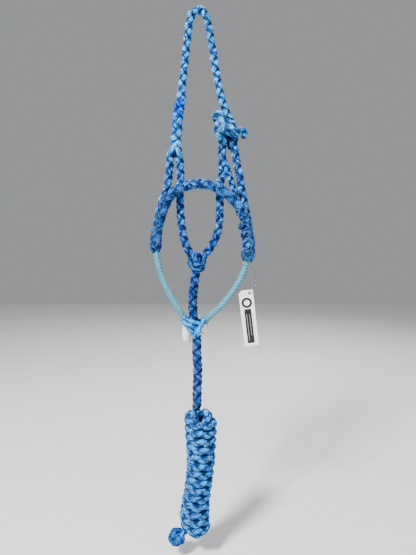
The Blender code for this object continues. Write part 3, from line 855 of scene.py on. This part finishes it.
def ball(name, material, centre, radius, wide, thick, body, slot, node):
    """A ball knot: one fat strand worked round in a three-lead, four-bight Turk's head."""
    skin = Skin()
    t = np.arange(96) / 96 * TURN
    lat, lon = 0.92 * np.sin(4 * t), 3 * t
    r = radius - 0.5 * thick - 1.2 - 1.2 * np.sin(8 * t)
    points = np.stack([r * np.cos(lat) * np.cos(lon), r * np.cos(lat) * np.sin(lon), r * np.sin(lat)], axis=1)
    points = points @ BALL_TIP.T + np.array(centre)
    strap(skin, points, wide, thick, hub=centre, closed=True, step=0.0012, crease=0.06)
    for pole in (1, -1):
        knob = [(0.3 * radius * x, 0.3 * radius * y, pole * (0.80 * radius - 2.2 * (x * x + y * y)))
                for x, y in ((-1, -0.4), (-0.2, -0.1), (0.5, 0.2), (1.1, 0.6))]
        strap(skin, np.array(knob) @ BALL_TIP.T + np.array(centre), wide, thick, hub=centre, crease=0.06)
    return settle(skin.build(name, material), body, slot, node)


end_knot = ball("lead_end_ball", BALL_TAPE, (-45, -12, -857.5), 15.2, 11.0, 6.5,
                "hank", "deep_blue_braid", "lead_end_knot")

settle(lead, "lead", "blue_braid", "lead_drop", "lead_hank", bends=HANK_BEND)

# ---------------------------------------------------------------- lariat and noseband
LARIAT = [
    (-24.5, 3, -502), (-24.8, 2, -494), (-26.5, -1, -486), (-31, -6.5, -475), (-39.5, -9, -461.5),
    (-51, -9, -441.5), (-59.8, -9, -422.5), (-66.5, -9, -404), (-70.8, -9, -386), (-73.4, -9, -368),
    (-73.6, -9, -356), (-72.1, -9, -344), (-69.4, -9, -330), (-64.3, -9, -313), (-55.5, -9, -291.5),
    (-41.6, -9, -274.8), (-20, -9, -265.3), (2.9, -9, -262.9), (22.8, -9, -267.6), (39, -9, -277),
    (54.6, -9, -290.5), (65.6, -9, -308), (72.3, -9, -326), (75.7, -9, -346), (76.7, -9, -364),
    (74.6, -9, -386), (68, -9, -406), (58.2, -9, -425), (45.8, -9, -443), (30.3, -9, -461),
    (18, -8.5, -472), (9.5, -5, -481), (4.8, 1, -489.5), (4, 4, -497),
]
LARIAT_R, LARIAT_LAY = 0.00535, 0.021
lariat_route = flat_route(LARIAT)


def laid_rope(skin, route, radius, lay, strands=4, ends=(0.002, 0.002), step=0.0016, sides=10):
    """Strands twisted one way round the route. lay is the length of one turn."""
    count = int(route.length / step)
    s = np.linspace(0, route.length, count)
    close = 0.3 + 0.7 * dome(s, ends[0]) * dome(route.length - s, ends[1])
    half = radius * 0.50
    middle = radius - half
    lean = math.atan(TURN * middle / lay)
    out, across, _ = section(sides, 0.9)
    for k in range(strands):
        angle = TURN * (s / lay + k / strands)
        a = across[None, :] * (half * 0.98 * close)[:, None]
        rho = middle + out[None, :] * (half * close)[:, None]
        place, front, side = route.at(s[:, None] - a * math.sin(lean))
        rest = a * math.cos(lean)
        c, q = np.cos(angle)[:, None, None], np.sin(angle)[:, None, None]
        ring = place + front * (c * rho[..., None] - q * rest[..., None])
        ring = ring + side * (q * rho[..., None] + c * rest[..., None])
        # Painted shade in the lay: darker where a strand dips towards the rope's middle
        skin.rings(ring, np.clip((np.hypot(rho, rest) / radius - 0.62) / 0.3, 0, 1))


skin = Skin()
laid_rope(skin, lariat_route, LARIAT_R, LARIAT_LAY)
settle(skin.build("lariat_rope", ROPE), "face", "aqua_lariat", "lariat_core")


def s_at(route, z, side):
    """Length along a route where it passes a height, on the left (-1) or right (1) of the middle."""
    line = route.line
    near = np.where(line[:, 0] * side > 0, np.abs(line[:, 2] - z), 9)
    return route.along[int(np.argmin(near))]


BAND_WIDE, BAND_LUMP = 0.0186, 0.0235
band_start, band_stop = s_at(lariat_route, -0.372, -1), s_at(lariat_route, -0.384, 1)
band_middle = (band_start + band_stop) / 2


def band_bulge(s):
    """Fuller at both wrapped ends, with the left end drawn to a point, and slimmer over the nose."""
    left = np.exp(-(((s - band_start) - 0.019) / 0.011) ** 2)
    right = np.exp(-(((band_stop - s) - 0.016) / 0.018) ** 2)
    taper = 0.50 + 0.50 * dome(s - band_start, 0.017)
    close = 0.66 + 0.34 * dome(band_stop - s, 0.011)
    over_nose = np.exp(-((s - band_middle) / 0.06) ** 2)
    return (1 + 0.20 * left + 0.30 * right - 0.07 * over_nose) * taper * close


def band_spin(s):
    """The lumps sit on the outer edge at the left end and in the middle at the right end."""
    return (math.pi / 4) * ease((s - band_middle) / 0.10)


def band_edge(s):
    """The painted shade along the tapes' edges is stronger to the right of the nose."""
    return 0.30 + 0.50 * ease((s - band_middle) / 0.08)


skin = Skin()
braid(
    skin, lariat_route, BAND_WIDE, BAND_WIDE, lump=BAND_LUMP, start=band_start, stop=band_stop, ends=(0, 0),
    style=Braid(strand=0.78, thick=0.20, weave=0.11, curl=0.75, crease=0.06, sides=16, step=0.0015,
                power=0.8, gap=(0.68, 0.97), swing=0.20, edge=band_edge),
    bulge=band_bulge, spin=band_spin,
)
# The right end is wrapped: three arched tapes, then a turned knob, a tape over it, and one inside.
# They lie in front of the rope, whose middle is at BAND_Y. Places are in millimetres.
BAND_Y = -9.0
for x, z, half in ((70.5, -327, 7.0), (73.5, -340, 7.5), (75.5, -353.5, 8.0)):
    arch = [(x - half, BAND_Y - 5, z - 10), (x - 0.85 * half, BAND_Y - 8.5, z - 3), (x, BAND_Y - 9.8, z + 2),
            (x + 0.85 * half, BAND_Y - 8.5, z - 3), (x + half, BAND_Y - 5, z - 10)]
    strap(skin, arch, 7.0, 3.4, hub=(x, BAND_Y, z), crease=0.04)
turn = np.linspace(0, TURN, 13)[:-1]
knob = np.stack([75.0 + 6.6 * np.cos(turn), np.full(12, BAND_Y - 9.4), -374 + 8.2 * np.sin(turn)], axis=1)
strap(skin, knob, 5.4, 4.6, facing=(0, -1, 0), closed=True, crease=0.04)
strap(skin, [(72.5, BAND_Y - 6.5, -368), (75, BAND_Y - 9.5, -374), (77, BAND_Y - 6.5, -380)], 7.0, 4.5,
      facing=(0, -1, 0), crease=0.04)
strap(skin, [(63.5, BAND_Y - 2, -326), (61.5, BAND_Y - 4, -331), (64, BAND_Y - 3, -337)], 6.0, 4.5,
      hub=(68, BAND_Y, -331), crease=0.04)
settle(skin.build("noseband_tapes", BAND_TAPE), "face", "blue_tape",
       "noseband_cover", "noseband_end_left", "noseband_end_right")


# ---------------------------------------------------------------- whippings
def whipping(name, points, radius, lay, strands, ends, node):
    """Twine laid slantwise over a rope's end, drawn in at the bottom."""
    skin = Skin()
    laid_rope(skin, flat_route(points), radius, lay, strands=strands, ends=ends, step=0.0009, sides=8)
    return settle(skin.build(name, TWINE), "face", "white_whipping", node)


whipping("left_whipping_twine", [(-23.5, -1, -487), (-24.5, 0, -497), (-25.5, 1, -508), (-25, 2, -521)],
         0.0078, 0.052, 6, (0.004, 0.012), "lariat_whipping_left")
whipping("right_whipping_twine", [(3.8, 0, -488), (2, 2.5, -497), (1, 3.5, -507.5)],
         0.0062, 0.044, 5, (0.003, 0.008), "lariat_whipping_right")

# ---------------------------------------------------------------- tag
# The card hangs from its hole, tilted. Places on it are measured from there: x across, z up.
TAG_PIVOT = np.array((77.3, -16, -438)) * MM
TAG_TILT = math.radians(6.5)
PANEL_X, PANEL_Z, PANEL_HALF_X, PANEL_HALF_Z = -0.0055, -0.0530, 0.0057, 0.0280
RING_Z, RING_R, RING_HALF_LINE = -0.0150, 0.0066, 0.0019
# Pale rules on the panel: how far off its middle as a share of its half width, how far up, half
# width, and half height as a share of the panel's
RULES = [(-0.40, -0.002, 0.00022, 0.78), (0.35, 0.002, 0.00018, 0.62)]
PRINT_EDGE = 0.0002
INK, RULE_TONE = (0.006, 0.006, 0.008), (0.55, 0.55, 0.56)


def thread_material():
    """Clear nylon, with a faint frosting."""
    finish = Finish("clear_nylon")
    frost = finish.add("TexNoise", Scale=900.0, Detail=2.0)
    finish.feed("Roughness", finish.through(frost.outputs[0], (0.3, 0.20), (0.7, 0.35)))
    finish.feed("Base Color", (0.50, 0.53, 0.56))
    finish.feed("Transmission Weight", 0.95)
    finish.feed("IOR", 1.22)
    return finish.material


def card_material():
    """Coated card with a generic printed frame: a ring above a dark panel with pale ruled lines."""
    finish = Finish("printed_card")
    place = finish.add("VectorMath", operation="SUBTRACT")
    finish.wire(place.inputs[0], finish.add("TexCoord").outputs["Object"])
    place.inputs[1].default_value = tuple(TAG_PIVOT)

    def along_axis(axis):
        node = finish.add("VectorMath", operation="DOT_PRODUCT")
        finish.wire(node.inputs[0], place.outputs[0])
        node.inputs[1].default_value = axis
        return node.outputs["Value"]

    def within(value, centre, half):
        away = finish.maths("ABSOLUTE", finish.maths("SUBTRACT", value, centre))
        return finish.slope(away, half + PRINT_EDGE, half - PRINT_EDGE)

    def box(cx, cz, hx, hz):
        return finish.maths("MULTIPLY", within(x, cx, hx), within(z, cz, hz))

    def squared(value):
        return finish.maths("MULTIPLY", value, value)

    c, q = math.cos(TAG_TILT), math.sin(TAG_TILT)
    x, z = along_axis((c, 0, q)), along_axis((-q, 0, c))
    panel = box(PANEL_X, PANEL_Z, PANEL_HALF_X, PANEL_HALF_Z)
    rules = 0.0
    for off, up, half, share in RULES:
        rule = box(PANEL_X + off * PANEL_HALF_X, PANEL_Z + up, half, PANEL_HALF_Z * share)
        rules = finish.maths("ADD", rule, rules)
    dx, dz = finish.maths("SUBTRACT", x, PANEL_X), finish.maths("SUBTRACT", z, RING_Z)
    far = finish.maths("SQRT", finish.maths("ADD", squared(dx), squared(dz)))
    ring = within(far, RING_R, RING_HALF_LINE)
    fibre = finish.add("TexNoise", Scale=350.0, Detail=3.0)
    paper = finish.through(fibre.outputs[0], (0.3, (0.80, 0.80, 0.80)), (0.7, (0.88, 0.88, 0.88)))
    colour = finish.mixed(finish.maths("MAXIMUM", panel, ring), paper, INK)
    finish.feed("Base Color", finish.mixed(rules, colour, RULE_TONE))
    finish.feed("Roughness", 0.35)
    return finish.material


def finish_node(node, material):
    """A new finish for a CAD part that keeps its shape."""
    part = bpy.data.objects[node]
    part.data.materials.clear()
    part.data.materials.append(material)


finish_node("tag_fastener", thread_material())
finish_node("tag_card", card_material())

# ---------------------------------------------------------------- stage
FLOOR_DROP, FLOOR_HALF = 0.02, 3.0
SKY, SKY_STRENGTH = (0.80, 0.83, 0.87, 1), 0.40
# Area lights: name, place, the point it looks at, size, and power in watts
LIGHTS = [
    ("key", (-0.8, -1.2, 1.0), (0, 0, -0.40), 0.4, 130.0),
    ("fill", (1.3, -1.0, -0.1), (0, 0, -0.45), 1.2, 10.0),
    ("rim", (0.5, 1.3, 0.7), (0, 0, -0.40), 1.2, 30.0),
]


def floor_material():
    finish = Finish("pale_floor")
    grain = finish.add("TexNoise", Scale=6.0, Detail=4.0)
    tone = finish.through(grain.outputs[0], (0.3, (0.66, 0.66, 0.65)), (0.7, (0.70, 0.70, 0.69)))
    finish.feed("Base Color", tone)
    finish.feed("Roughness", 0.9)
    return finish.material


def make_floor():
    half, z = FLOOR_HALF, cad_low[2] - FLOOR_DROP
    corners = [(-half, -half, z), (half, -half, z), (half, half, z), (-half, half, z)]
    mesh = bpy.data.meshes.new("floor")
    mesh.from_pydata(corners, [], [(0, 1, 2, 3)])
    mesh.materials.append(floor_material())
    floor = bpy.data.objects.new("floor", mesh)
    bpy.context.collection.objects.link(floor)


def make_sky():
    world = bpy.data.worlds.new("studio")
    world.use_nodes = True
    bpy.context.scene.world = world
    background = world.node_tree.nodes["Background"]
    background.inputs["Color"].default_value = SKY
    background.inputs["Strength"].default_value = SKY_STRENGTH


def make_light(name, place, aim, size, power):
    data = bpy.data.lights.new(name, "AREA")
    data.size, data.energy = size, power
    light = bpy.data.objects.new(name, data)
    bpy.context.collection.objects.link(light)
    back = unit(np.array(place) - np.array(aim))
    right = unit(np.cross(np.array([0.0, 0.0, 1.0]), back))
    up = np.cross(back, right)
    rows = [[right[i], up[i], back[i], place[i]] for i in range(3)]
    light.matrix_world = Matrix(rows + [[0, 0, 0, 1]])


make_floor()
make_sky()
for light in LIGHTS:
    make_light(*light)
